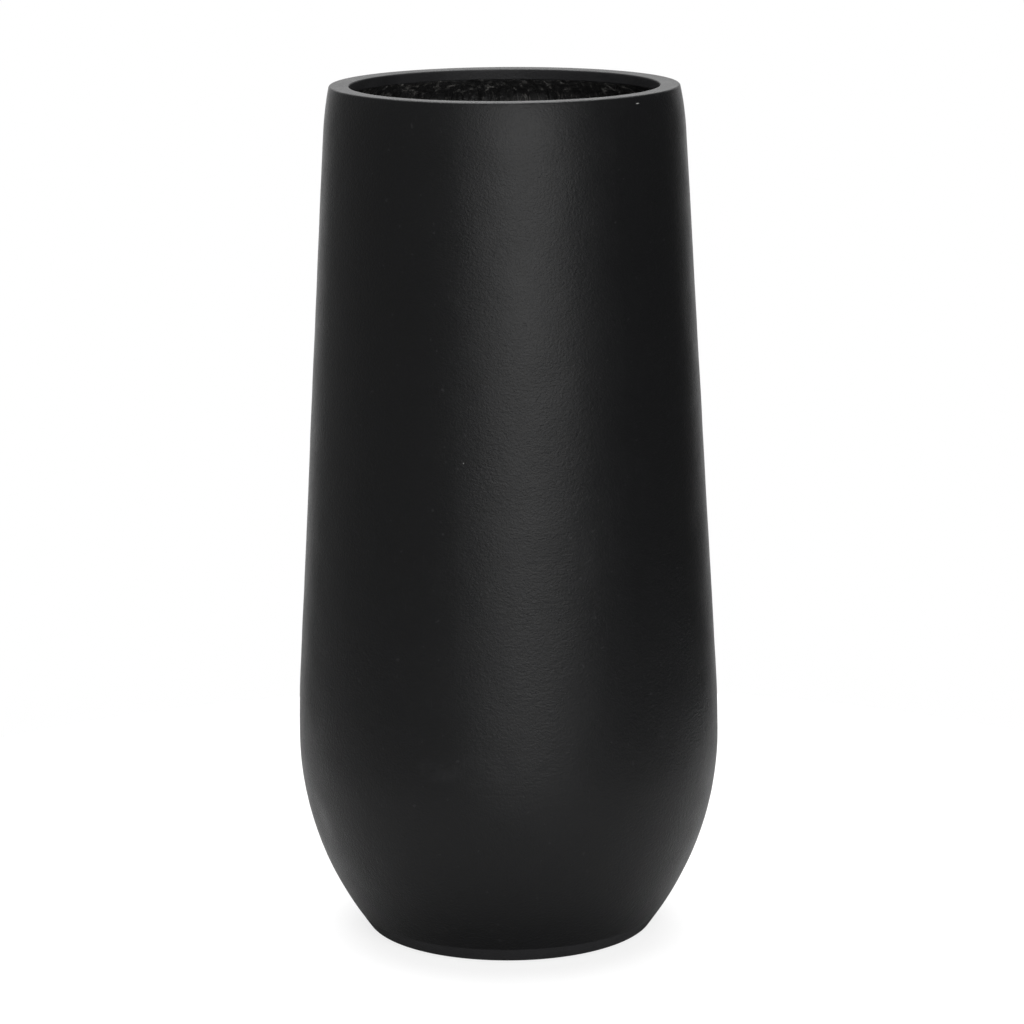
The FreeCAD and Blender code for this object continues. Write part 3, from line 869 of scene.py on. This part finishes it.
@dataclass
class FaceShell(Assembly):
    """The moulded outer skin: foot, wall, rounded rim and the lip that hangs inside it."""

    coat: float = 0.002
    lip_radius: float = 0.178
    lip_depth: float = 0.013
    lip_bevel: float = 0.0006
    lip_fade: float = 0.003
    lip_reach: float = 0.181
    lip_zone: float = 0.9
    outer_round: float = 0.0025
    inner_round: float = 0.0015
    rim_slope: float = math.radians(1.5)
    face_pitch: float = 0.0055
    back_pitch: float = 0.020
    steps: int = 288
    foot_fade: float = 0.02
    rim_fade: float = 0.03
    waves: Lumps = ((0.16, 0.0012), (0.045, 0.0004))
    lip_waves: Lumps = ((0.009, 0.0016),)
    dents: tuple[tuple[float, float, float, float], ...] = (
        (-1.62, 0.162, 0.0011, 0.055),
        (-1.35, 0.690, 0.0005, 0.040),
        (-2.75, 0.150, 0.0016, 0.040),
        (-0.35, 0.520, 0.0007, 0.050),
        (0.90, 0.420, 0.0008, 0.060),
        (2.20, 0.600, 0.0009, 0.060),
    )

    def draw(self) -> Profile:
        """Draws the skin's closed section.

        Returns:
            The profile, from the recess over the face and the rim and back.
        """
        line = self.outline
        edge = line.shoulder.seat(self.outer_round, line.height - self.outer_round)
        rim_angle = line.shoulder.angle(edge.centre)
        rim_start = edge.centre[0] + self.outer_round * math.sin(self.rim_slope)
        drop = (rim_start - self.lip_radius - self.inner_round) * math.tan(self.rim_slope)
        inner = Arc((self.lip_radius + self.inner_round, line.height - drop - self.inner_round), self.inner_round)
        lip_foot = line.height - self.lip_depth
        back = self.lip_radius + self.coat

        profile = line.draw_layer(
            0.0, line.foot_fillet, rim_angle, self.face_pitch, fillet_pitch=0.0012, foot_pitch=self.face_pitch
        )
        profile.arc(edge, rim_angle, QUARTER, pitch=0.0005)
        profile.arc(edge, QUARTER, QUARTER + self.rim_slope, pitch=0.0005)
        profile.line(inner.centre[0], line.height - drop, pitch=0.003)
        profile.arc(inner, QUARTER, math.pi, pitch=0.0006)
        profile.lines(
            (self.lip_radius, lip_foot + self.lip_bevel, 0.002),
            (self.lip_radius + self.lip_bevel, lip_foot),
            (back, lip_foot),
            (back, line.height - self.coat, 0.006),
        )
        return profile.retrace(self.draw_back())

    def draw_back(self) -> Profile:
        """Draws the back of the skin.

        Returns:
            The profile, from the foot up to the rim.
        """
        line = self.outline
        top = line.height - self.coat
        shoulder = line.shoulder.within(self.coat)
        last = shoulder.angle((shoulder.reach(top), top))
        return line.draw_layer(self.coat, line.foot_fillet - self.coat, last, self.back_pitch, fillet_pitch=0.003)

    def build(self) -> None:
        """Turns the skin, gives it its long waves, dents and ragged lip, and delivers it."""
        skin = Bench.lathe("face_shell", self.draw(), self.steps)
        Bench.roughen(skin, "face", self.face_share, self.waves)
        Bench.roughen(skin, "lip_edge", self.lip_share, self.lip_waves, direction="Z", mid_level=0.4)
        for dent in self.dents:
            self.press(skin, *dent)
        Bench.smooth(skin)
        self.deliver(skin, COAT, Body.PLANTER, "outer_skin")

    def face_share(self, place: Vector) -> float:
        """Says how far a point belongs to the face: less near the foot and the rim."""
        return min(1, place.z / self.foot_fade, (self.outline.height - place.z) / self.rim_fade)

    def lip_share(self, place: Vector) -> float:
        """Says how far a point belongs to the lip's lower edge.

        Args:
            place: The point.

        Returns:
            1 at the edge, and 0 from a few millimetres above it.
        """
        lip_foot = self.outline.height - self.lip_depth
        on_lip = math.hypot(place.x, place.y) < self.lip_reach and place.z > self.lip_zone
        return max(0.0, 1 - (place.z - lip_foot) / self.lip_fade) if on_lip else 0.0

    def press(self, skin: bpy.types.Object, angle: float, height: float, depth: float, reach: float) -> None:
        """Presses one shallow dent into the wall.

        Args:
            skin: The outer skin.
            angle: Where it lies round the axis.
            height: Its height.
            depth: How deep it goes.
            reach: How wide it is.
        """
        radius = self.outline.radius_at(height)
        spot = Vector((radius * math.cos(angle), radius * math.sin(angle), height))
        inward = Vector((-math.cos(angle), -math.sin(angle), 0)) * depth
        nearest = min((vertex.co - spot).length for vertex in skin.data.vertices)
        Bench.pick(skin, lambda place: (place - spot).length <= nearest + TINY)
        bpy.ops.transform.translate(
            value=inward, use_proportional_edit=True, proportional_edit_falloff="SMOOTH", proportional_size=reach
        )
        Bench.clear()


@dataclass
class MatLining(Assembly):
    """The glass mat behind the coat, with its rough inner side and the strands that stand out of it."""

    depth: float = 0.0023
    thickness: float = 0.004
    corner: float = 0.012
    cove: float = 0.014
    slope: float = math.radians(45)
    lap_radius: float = 0.1803
    lap: float = 0.005
    lip_foot: float = 0.987
    top_pitch: float = 0.003
    wall_pitch: float = 0.007
    back_pitch: float = 0.025
    steps: int = 360
    lumps: Lumps = ((0.050, 0.0022), (0.014, 0.0014))
    rim_lumps: Lumps = ((0.006, 0.0014),)
    rim_zone: float = 0.94
    rough_zone: Point = (0.02, 0.986)
    wall_top: float = 0.999
    bonded_share: float = 0.8

    def draw(self) -> Profile:
        """Draws the lining's closed section.

        Returns:
            The profile, up the rough side and back down the bonded one.
        """
        line = self.outline
        inside = self.depth + self.thickness
        turn = QUARTER - self.slope
        cove_top = (self.lap_radius - self.cove * math.cos(turn), self.lip_foot - self.cove * math.sin(turn))
        cove = Arc(line.shoulder.within(inside + self.cove).meet(cove_top, self.slope), self.cove)
        last = line.shoulder.angle(cove.centre)
        inner = line.draw_layer(inside, self.corner, last, self.wall_pitch, fillet_pitch=0.002)
        inner.arc(cove, last, turn, pitch=0.002)
        inner.line(self.lap_radius, self.lip_foot, self.top_pitch)

        lap_top = (self.lap_radius, self.lip_foot + self.lap)
        last = line.shoulder.angle(line.shoulder.within(self.depth).meet(lap_top, self.slope))
        outer = line.draw_layer(self.depth, line.foot_fillet - self.depth, last, self.back_pitch, fillet_pitch=0.003)
        return inner.retrace(outer.line(*lap_top))

    def build(self) -> None:
        """Turns the lining, roughens its inner side, lays the strands on it, and delivers both."""
        lining = Bench.lathe("mat_lining", self.draw(), self.steps)
        Bench.roughen(lining, "inside", self.inner_share, self.lumps, mid_level=0.5)
        Bench.roughen(lining, "under_rim", self.rim_share, self.rim_lumps, mid_level=0.5)
        Bench.smooth(lining, 70)
        self.deliver(lining, LINING, Body.PLANTER, "glass_laminate")
        for mat in self.mats():
            mat.build(lining)

    def mats(self) -> list["Mat"]:
        """Plans the strands on the lining.

        Returns:
            Long ones down the wall, in two pieces, and short crowded ones under the rim.
        """
        return [
            Mat(self.outline, "wall_strands_low", (0.10, 0.18, 0.26, 0.34, 0.42, 0.50), seed=11),
            Mat(self.outline, "wall_strands_high", (0.58, 0.66, 0.74, 0.82, 0.90), seed=12),
            Mat(
                self.outline, "rim_strands", (0.955, 0.971), columns=30, strands=56, shortest=0.006, longest=0.022,
                half_width=0.026, half_height=0.013, thickness=0.00030, bends=4, stand_off=0.030, seed=13,
            ),
        ]

    def rim_share(self, place: Vector) -> float:
        """Says whether a point lies on the inner side and near the rim."""
        return self.inner_share(place) if place.z > self.rim_zone else 0.0

    def inner_share(self, place: Vector) -> float:
        """Says whether a point lies on the inner side.

        Args:
            place: The point.

        Returns:
            1 on the inner side, and 0 on the side that is bonded.
        """
        low, high = self.rough_zone
        bonded = self.depth + self.thickness * self.bonded_share
        wall = self.outline.radius_at(min(place.z, self.wall_top), bonded)
        return float(low <= place.z <= high and math.hypot(place.x, place.y) < wall)


@dataclass
class Mat(Assembly):
    """Chopped glass strands on a rough wall: small patches laid one by one, and copied all round."""

    name: str
    heights: tuple[float, ...]
    columns: int = 15
    strands: int = 46
    shortest: float = 0.018
    longest: float = 0.045
    half_width: float = 0.055
    half_height: float = 0.055
    thickness: float = 0.00040
    bends: int = 6
    curl: float = 0.6
    patterns: int = 3
    stand_off: float = 0.022
    proud: float = 0.0001
    seed: int = 11

    def lay_patch(self, chance: random.Random) -> bpy.types.Object:
        """Lays one flat patch of strands, facing the axis.

        Args:
            chance: Source of the strands' places.

        Returns:
            The patch, as loose lines in the XZ plane.
        """
        lines = []
        for index in range(self.strands):
            length = chance.uniform(self.shortest, self.longest)
            heading = chance.uniform(0, math.pi)
            curl = chance.uniform(-self.curl, self.curl)
            place = Vector((chance.uniform(-1, 1) * self.half_width, 0, chance.uniform(-1, 1) * self.half_height))
            place -= Vector((math.cos(heading), 0, math.sin(heading))) * length / 2
            line = Bench.start_line(f"strand_{index}", place)
            for step in range(self.bends):
                turn = heading + curl * (step / self.bends - 0.5)
                Bench.draw_on(Vector((math.cos(turn), 0, math.sin(turn))) * (length / self.bends))
            Bench.clear()
            lines.append(line)
        return Bench.join(lines)

    def build(self, ground: bpy.types.Object) -> None:
        """Copies the patches round the wall, presses them on to it and gives the strands their body.

        Args:
            ground: The rough piece that the strands lie on.
        """
        chance = random.Random(self.seed)
        patches = [self.lay_patch(chance) for _ in range(self.patterns)]
        laid = []
        for row, height in enumerate(self.heights):
            radius = self.outline.radius_at(height, self.stand_off)
            for column in range(self.columns):
                angle = FULL * (column + 0.5 * (row % 2)) / self.columns
                copy = Bench.copy(patches[(row + column) % len(patches)], f"{self.name}_patch")
                copy.location = (radius * math.sin(angle), radius * math.cos(angle), height)
                copy.rotation_mode = "YXZ"
                copy.rotation_euler = (0, chance.choice((0, math.pi)), -angle)
                laid.append(copy)
        for patch in patches:
            bpy.data.objects.remove(patch)
        mat = Bench.join(laid)
        Bench.settle(mat)
        mat.name = mat.data.name = self.name
        Bench.finish(mat, "SHRINKWRAP", target=ground, wrap_mode="ABOVE_SURFACE", offset=self.proud)
        Bench.hold(mat)
        bpy.ops.object.convert(target="CURVE")
        mat.data.bevel_depth = self.thickness
        mat.data.bevel_resolution = 0
        bpy.ops.object.convert(target="MESH")
        mat = bpy.context.object
        Bench.smooth(mat, 80)
        self.deliver(mat, STRANDS, Body.PLANTER)


@dataclass
class Bottom(Assembly):
    """The panel that closes the bottom, and the glass strip that ties it to the wall."""

    panel_radius: float = 0.1505
    panel_level: float = 0.0096
    panel_thickness: float = 0.006
    panel_bevel: float = 0.001
    drain_radius: float = 0.011
    drain_bevel: float = 0.0008
    bond: float = 0.0003
    strip_lap: float = 0.022
    strip_top: float = 0.0513
    strip_edge: float = 0.0015
    wall_depth: float = 0.0066
    corner: float = 0.0117
    panel_lumps: Lumps = ((0.030, 0.0005), (0.008, 0.0004))
    under_lumps: Lumps = ((0.020, -0.0004),)
    strip_lumps: Lumps = ((0.030, 0.0016), (0.009, 0.0010))
    edge_lumps: Lumps = ((0.012, 0.006),)
    edge_zone: float = 0.008
    face_zone: float = 0.0002
    sweep_start: float = 0.001
    sweep_gap: float = 0.0012
    wall_foot: float = 0.012
    panel_steps: int = 240
    strip_steps: int = 300

    def draw_panel(self) -> Profile:
        """Draws the panel's section.

        Returns:
            The profile, from the drain hole out and back.
        """
        top = self.panel_level + self.panel_thickness
        return Profile(self.drain_radius, self.panel_level).lines(
            (self.panel_radius, self.panel_level, 0.01),
            (self.panel_radius, top - self.panel_bevel),
            (self.panel_radius - self.panel_bevel, top),
            (self.drain_radius + self.drain_bevel, top, 0.0025),
            (self.drain_radius, top - self.drain_bevel),
        )

    def draw_strip(self) -> Profile:
        """Draws the strip's section.

        Returns:
            The profile: under it the panel's edge, over it one hollow sweep.
        """
        bed = self.panel_radius + self.bond
        level = self.panel_level + self.panel_thickness + self.bond
        wall = self.outline.lower.within(self.wall_depth)
        corner = wall.seat(self.corner, self.panel_level + self.corner)
        wall_top = (wall.reach(self.strip_top), self.strip_top)
        lap = self.panel_radius - self.strip_lap
        sweep_end = (wall_top[0] - self.strip_edge, self.strip_top)
        run = (sweep_end[0] - lap, sweep_end[1] - level - self.strip_edge)
        radius = (run[0] ** 2 + run[1] ** 2) / (2 * run[1])
        sweep = Arc((lap, level + self.strip_edge + radius), radius)

        profile = Profile(bed, self.panel_level)
        profile.arc(corner, -QUARTER, wall.angle(corner.centre), pitch=0.002)
        profile.arc(wall, wall.angle(corner.centre), wall.angle(wall_top), pitch=0.006)
        profile.line(*sweep_end)
        back = Profile(lap, level + self.strip_edge).arc(sweep, -QUARTER, sweep.angle(sweep_end), pitch=0.0022)
        return profile.retrace(back).lines((lap, level), (bed, level, 0.008))

    def build(self) -> None:
        """Turns the panel and the strip, roughens what shows of them, and delivers them."""
        top = self.panel_level + self.panel_thickness
        panel = Bench.lathe("bottom_panel", self.draw_panel(), self.panel_steps)
        high, low = top - self.face_zone, self.panel_level + self.face_zone
        Bench.roughen(panel, "upper", lambda place: float(place.z > high), self.panel_lumps, direction="Z")
        Bench.roughen(panel, "under", lambda place: float(place.z < low), self.under_lumps, direction="Z")
        Bench.smooth(panel)
        self.deliver(panel, PANEL, Body.PLANTER, "base_panel")

        strip = Bench.lathe("glass_strip", self.draw_strip(), self.strip_steps)
        Bench.roughen(strip, "sweep", self.sweep_share, self.strip_lumps, mid_level=0.6)
        Bench.roughen(strip, "upper_edge", self.edge_share, self.edge_lumps, direction="Z")
        Bench.smooth(strip, 60)
        self.deliver(strip, STRIP, Body.PLANTER, "base_tabbing")

    def edge_share(self, place: Vector) -> float:
        """Says how far a point belongs to the strip's upper edge."""
        return max(0.0, 1 - (self.strip_top - place.z) / self.edge_zone)

    def sweep_share(self, place: Vector) -> float:
        """Says whether a point lies on the strip's upper side.

        Args:
            place: The point.

        Returns:
            1 on the upper side, and 0 elsewhere.
        """
        start = self.panel_level + self.panel_thickness + self.bond + self.sweep_start
        wall = self.outline.radius_at(max(place.z, self.wall_foot), self.wall_depth)
        return float(place.z > start and math.hypot(place.x, place.y) < wall - self.sweep_gap)


@dataclass
class DrainPlug(Assembly):
    """The rubber plug: flange, ribbed hollow shank, and the bar that it is pulled by."""

    level: float = 0.0094
    flange_radius: float = 0.019
    flange_thickness: float = 0.0026
    edge_round: float = 0.0008
    shank_radius: float = 0.0108
    shank_length: float = 0.013
    shank_bevel: float = 0.0016
    core_radius: float = 0.006
    core_depth: float = 0.010
    core_round: float = 0.0005
    core_bevel: float = 0.001
    rib_start: float = 0.0016
    rib_gap: float = 0.002
    rib_depth: float = 0.0009
    rib_pitch: float = 0.0036
    rib_bevel: float = 0.0002
    rib_taper: float = 0.0003
    ribs: int = 3
    grip_length: float = 0.024
    grip_width: float = 0.0046
    grip_drop: float = 0.004
    grip_root: float = 0.0006
    grip_round: float = 0.00207
    steps: int = 96

    def draw(self) -> Profile:
        """Draws the plug's section.

        Returns:
            The profile, from the middle of its underside to the bottom of its core.
        """
        foot = self.level - self.flange_thickness
        soft = self.edge_round
        rim = self.flange_radius - soft
        profile = Profile(0, foot)
        profile.line(rim - 0.003, foot, pitch=0.004)
        profile.arc(Arc((rim, foot + soft), soft), -QUARTER, 0, pitch=0.0002)
        profile.arc(Arc((rim, self.level - soft), soft), 0, QUARTER, pitch=0.0002)
        profile.line(self.shank_radius, self.level, pitch=0.003)
        floor, bevel = self.shank_radius - self.rib_depth, self.rib_bevel
        for rib in range(self.ribs):
            low = self.level + self.rib_start + rib * self.rib_pitch
            high = low + self.rib_gap
            profile.lines(
                (self.shank_radius, low - bevel), (self.shank_radius - bevel, low),
                (floor, low + self.rib_taper), (floor, high - self.rib_taper),
                (self.shank_radius - bevel, high), (self.shank_radius, high + bevel),
            )
        top = self.level + self.shank_length
        core, soft = self.core_radius, self.core_round
        profile.lines((self.shank_radius, top - self.shank_bevel), (self.shank_radius - self.shank_bevel, top))
        profile.arc(Arc((core + soft, top - soft), soft), QUARTER, math.pi, pitch=0.0002)
        floor = top - self.core_depth
        return profile.lines((core, floor + self.core_bevel, 0.003), (core - self.core_bevel, floor), (0, floor))

    def build(self) -> None:
        """Turns the plug, adds the bar, and delivers it."""
        plug = Bench.lathe("drain_stopper", self.draw(), self.steps, closed=False)
        foot = self.level - self.flange_thickness
        Bench.clear()
        bpy.ops.mesh.primitive_cube_add(size=1)
        bar = bpy.context.object
        bar.name = "stopper_bar"
        bar.scale = (self.grip_length, self.grip_width, self.grip_drop + self.grip_root)
        bar.location = (0, 0, foot + (self.grip_root - self.grip_drop) / 2)
        Bench.settle(bar)
        Bench.finish(bar, "BEVEL", width=self.grip_round, segments=6, limit_method="ANGLE")
        Bench.finish(plug, "BOOLEAN", object=bar, operation="UNION", solver="EXACT")
        bpy.data.objects.remove(bar)
        Bench.smooth(plug, 35)
        self.deliver(plug, PLUG_RUBBER, Body.PLUG, "drain_plug")


@dataclass
class FloorPads(Assembly):
    """Four rubber pads under the foot: one is modelled, and three are copies."""

    radius: float = 0.010
    thickness: float = 0.003
    bevel: float = 0.0006
    circle: float = 0.146
    angles: tuple[int, ...] = (45, 135, 225, 315)
    steps: int = 64

    def build(self) -> None:
        """Turns one pad and puts a copy at each place."""
        profile = Profile(0, 0)
        profile.line(self.radius - self.bevel - 0.002, 0, pitch=0.004)
        profile.arc(Arc((self.radius - self.bevel, self.bevel), self.bevel), -QUARTER, 0, pitch=0.0002)
        profile.line(self.radius, self.thickness, pitch=0.001).line(0, self.thickness, pitch=0.004)
        pad = Bench.lathe("pad_pattern", profile, self.steps, closed=False)
        Bench.smooth(pad, 35)
        for index, degrees in enumerate(self.angles, start=1):
            angle = math.radians(degrees)
            copy = Bench.copy(pad, f"rubber_pad_{index}")
            copy.location = (self.circle * math.cos(angle), self.circle * math.sin(angle), 0)
            copy.rotation_euler = (0, 0, angle)
            Bench.settle(copy)
            self.deliver(copy, PAD_RUBBER, Body.PLANTER, f"floor_pad_{index}")
        bpy.data.objects.remove(pad)


@dataclass
class RimFiller(Assembly):
    """The putty inside the rim, which keeps the frame's own shape."""

    def build(self) -> None:
        """Puts the putty's finish on the frame's node."""
        FILLER.dress(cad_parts["rim_filler"])
        log.info("rim_filler: the frame's own shape, %s", FILLER.name)


# -------------------- studio


@dataclass
class Studio:
    """White floor, white surroundings, soft lights and the camera."""

    eye: Vector = field(default_factory=lambda: Vector((0, -4.5, 1.4605)))
    pitch: float = 0.2105
    roll: float = 0.0068
    focal: float = 138.11
    sensor: float = 36.0
    shift: float = 0.00464
    floor_radius: float = 1.1
    floor_glow: float = 0.8
    floor_colour: tuple[float, ...] = (0.93, 0.93, 0.93, 1)
    bounce_colour: tuple[float, ...] = (0.33, 0.33, 0.33, 1)
    white: tuple[float, ...] = (1, 1, 1, 1)
    dim: float = 0.06
    sky: float = 10.0
    sky_aim: Point = (0.98, 0.20)
    sky_edge: Point = (0.80, 0.97)
    back_glow: float = 1.25
    back_edge: Point = (0.80, 0.99)
    left_glow: float = 0.25
    left_edge: Point = (0.2, 0.8)
    softboxes: tuple[Triple, ...] = ((0.7, 2.0, 22), (1.4, 2.2, 45), (2.2, 2.4, 48), (3.2, 2.6, 36))
    softbox_place: Vector = field(default_factory=lambda: Vector((0.56, -2.9, 1.25)))
    softbox_aim: Vector = field(default_factory=lambda: Vector((0, 0, 0.75)))
    softbox_tilt: float = math.radians(12)

    def build(self) -> None:
        """Sets up the whole studio."""
        self.lay_floor()
        self.light_world()
        self.hang_softboxes()
        self.set_camera()
        view = bpy.context.scene.view_settings
        view.view_transform = "Standard"
        view.look = "None"

    def lay_floor(self) -> None:
        """Lays the pale floor."""
        Bench.clear()
        bpy.ops.mesh.primitive_circle_add(vertices=96, radius=self.floor_radius, fill_type="NGON")
        floor = bpy.context.object
        floor.name = "studio_floor"
        material = bpy.data.materials.new("pale_floor")
        material.use_nodes = True
        recipe = Recipe(material.node_tree)
        pale = recipe.add("ShaderNodeBsdfDiffuse", {}, {"Color": self.floor_colour})[0]
        glow = recipe.add("ShaderNodeEmission", {}, {"Color": self.white, "Strength": 1.0})[0]
        white = recipe.add("ShaderNodeMixShader", {}, {0: self.floor_glow, 1: pale, 2: glow})[0]
        grey = recipe.add("ShaderNodeBsdfDiffuse", {}, {"Color": self.bounce_colour})[0]
        seen = recipe.add("ShaderNodeLightPath", {}, {})[0]
        shader = recipe.add("ShaderNodeMixShader", {}, {0: seen, 1: grey, 2: white})[0]
        recipe.add("ShaderNodeOutputMaterial", {}, {"Surface": shader})
        floor.data.materials.append(material)

    def light_world(self) -> None:
        """Makes the surroundings: plain white to the eye, bright above and behind, dim in front."""
        world = bpy.data.worlds.new("studio")
        bpy.context.scene.world = world
        world.use_nodes = True
        recipe = Recipe(world.node_tree)
        seen = recipe.add("ShaderNodeLightPath", {}, {})[0]
        direction = recipe.add("ShaderNodeTexCoord", {}, {})[0]
        right, back, up = recipe.add("ShaderNodeSeparateXYZ", {}, {0: direction})
        sky = (up * self.sky_aim[0] + back * self.sky_aim[1]).between(*self.sky_edge) * self.sky
        behind = back.between(*self.back_edge) * self.back_glow
        left = (0 - right).between(*self.left_edge) * self.left_glow
        strength = seen + (1 - seen) * (sky + behind + left + self.dim)
        shader = recipe.add("ShaderNodeBackground", {}, {"Color": self.white, "Strength": strength})[0]
        recipe.add("ShaderNodeOutputWorld", {}, {"Surface": shader})

    def hang_softboxes(self) -> None:
        """Hangs soft rectangular lights at one place, each given by its width, height and power."""
        for width, height, power in self.softboxes:
            Bench.clear()
            bpy.ops.object.light_add(type="AREA", location=self.softbox_place)
            lamp = bpy.context.object
            lamp.name = f"softbox_{width}"
            lamp.data.shape = "RECTANGLE"
            lamp.data.size = width
            lamp.data.size_y = height
            lamp.data.energy = power
            lamp.visible_camera = False
            lamp.rotation_euler = (self.softbox_aim - self.softbox_place).to_track_quat("-Z", "Y").to_euler()
            lamp.rotation_euler.rotate_axis("Z", self.softbox_tilt)

    def set_camera(self) -> None:
        """Puts the camera at the photograph's viewing angle."""
        Bench.clear()
        bpy.ops.object.camera_add(location=self.eye, rotation=(QUARTER - self.pitch, 0, 0))
        camera = bpy.context.object
        camera.rotation_euler.rotate_axis("Z", -self.roll)
        camera.data.sensor_width = self.sensor
        camera.data.lens = self.focal
        camera.data.shift_x = self.shift
        bpy.context.scene.camera = camera


def main() -> None:
    """Builds the planter's sub-assemblies in order, then the studio round it."""
    logging.basicConfig(level=logging.INFO, format="%(name)s %(message)s")
    outline = Outline()
    for assembly in (FaceShell, RimFiller, MatLining, Bottom, DrainPlug, FloorPads):
        assembly(outline).build()
    Studio().build()


if __name__ == "__main__":
    main()
